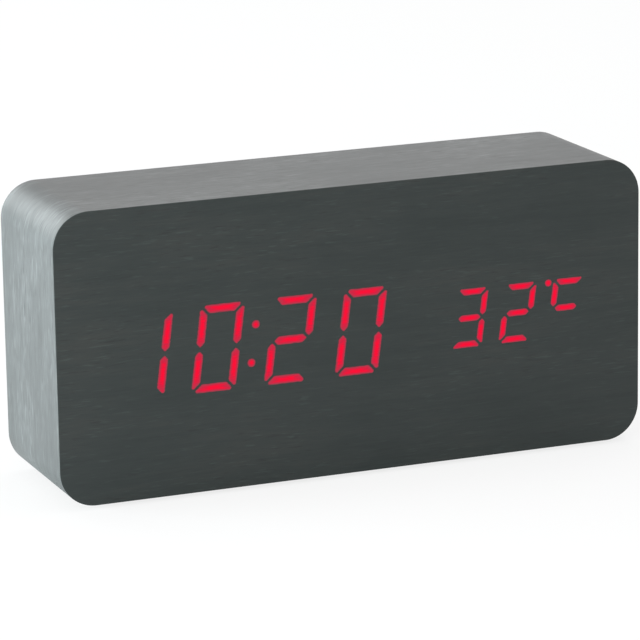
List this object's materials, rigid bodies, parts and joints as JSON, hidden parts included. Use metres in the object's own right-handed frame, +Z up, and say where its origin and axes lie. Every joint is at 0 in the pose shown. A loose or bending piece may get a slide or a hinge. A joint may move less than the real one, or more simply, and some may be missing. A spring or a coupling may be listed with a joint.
{
  "type": "digital alarm clock",
  "caption": "Rounded wood-film block clock with leaning red segment digits in its front, and a rear cover with push buttons, power inlet and hinged battery door.",
  "frame": {"origin": "middle of the block's outline at the bottom of its feet", "axes": "+Z up, -Y out of the display, +X to the right seen from the front"},
  "size_m": [0.15, 0.04, 0.0715],
  "materials": {
    "fibreboard": "raw medium density fibreboard",
    "front_film": "satin printed wood film, charcoal, fine grain along its length",
    "side_film": "satin printed wood film, charcoal, grain along the wrap",
    "foot_rubber": "matt",
    "mask_plastic": "moulded black",
    "lit_lens": "red lens, lit",
    "circuit_board": "green solder mask",
    "screw_steel": "zinc plated",
    "chip_resin": "moulded black",
    "contact_nickel": "nickel plated",
    "ribbon_jacket": "grey flat cable",
    "plunger_plastic": "moulded off-white",
    "cover_plastic": "fine moulded texture, black",
    "thermistor_resin": "dipped epoxy",
    "cell_sleeve": null,
    "black_lead": "insulated wire",
    "red_lead": "insulated wire"
  },
  "bodies": {
    "case": {"case_core": "fibreboard", "side_veneer": "side_film", "front_veneer": "front_film", "rear_veneer": "side_film", "foot_front_left": "foot_rubber", "foot_front_right": "foot_rubber", "foot_rear_left": "foot_rubber", "foot_rear_right": "foot_rubber", "display_mask": "mask_plastic", "hour_tens_lens": "lit_lens", "hour_ones_lens": "lit_lens", "colon_lens": "lit_lens", "minute_tens_lens": "lit_lens", "minute_ones_lens": "lit_lens", "temperature_tens_lens": "lit_lens", "temperature_ones_lens": "lit_lens", "temperature_unit_lens": "lit_lens", "display_board": "circuit_board", "display_screw_1": "screw_steel", "display_screw_2": "screw_steel", "display_screw_3": "screw_steel", "display_screw_4": "screw_steel", "clock_chip": "chip_resin", "crystal": "contact_nickel", "ribbon_cable": "ribbon_jacket", "rear_board": "circuit_board", "board_screw_1": "screw_steel", "board_screw_2": "screw_steel", "set_switch": "chip_resin", "up_switch": "chip_resin", "down_switch": "chip_resin", "dc_jack": "chip_resin", "dc_jack_pin": "contact_nickel", "buzzer": "chip_resin", "thermistor": "thermistor_resin", "back_cover": "cover_plastic", "cover_screw_1": "screw_steel", "cover_screw_2": "screw_steel", "cover_screw_3": "screw_steel", "cover_screw_4": "screw_steel", "battery_1": "cell_sleeve", "battery_2": "cell_sleeve", "battery_3": "cell_sleeve", "battery_4": "cell_sleeve", "contact_negative": "contact_nickel", "contact_bridge_1": "contact_nickel", "contact_bridge_2": "contact_nickel", "contact_bridge_3": "contact_nickel", "contact_positive": "contact_nickel", "negative_lead": "black_lead", "positive_lead": "red_lead"},
    "set_key": {"set_button": "cover_plastic", "set_plunger": "plunger_plastic"},
    "up_key": {"up_button": "cover_plastic", "up_plunger": "plunger_plastic"},
    "down_key": {"down_button": "cover_plastic", "down_plunger": "plunger_plastic"},
    "door": {"battery_door": "cover_plastic"}
  },
  "joints": [
    {"name": "set_press", "type": "slide", "parent": "case", "child": "set_key", "axis": [0, -1, 0], "range_m": [0, 0.0005], "stiffness_N_per_m": 300, "springref_m": -0.001},
    {"name": "up_press", "type": "slide", "parent": "case", "child": "up_key", "axis": [0, -1, 0], "range_m": [0, 0.0005], "stiffness_N_per_m": 300, "springref_m": -0.001},
    {"name": "down_press", "type": "slide", "parent": "case", "child": "down_key", "axis": [0, -1, 0], "range_m": [0, 0.0005], "stiffness_N_per_m": 300, "springref_m": -0.001},
    {"name": "door_hinge", "type": "hinge", "parent": "case", "child": "door", "pos_m": [0.0006, 0.0178, 0.03625], "axis": [0, 0, 1], "range_deg": [0, 80]}
  ]
}
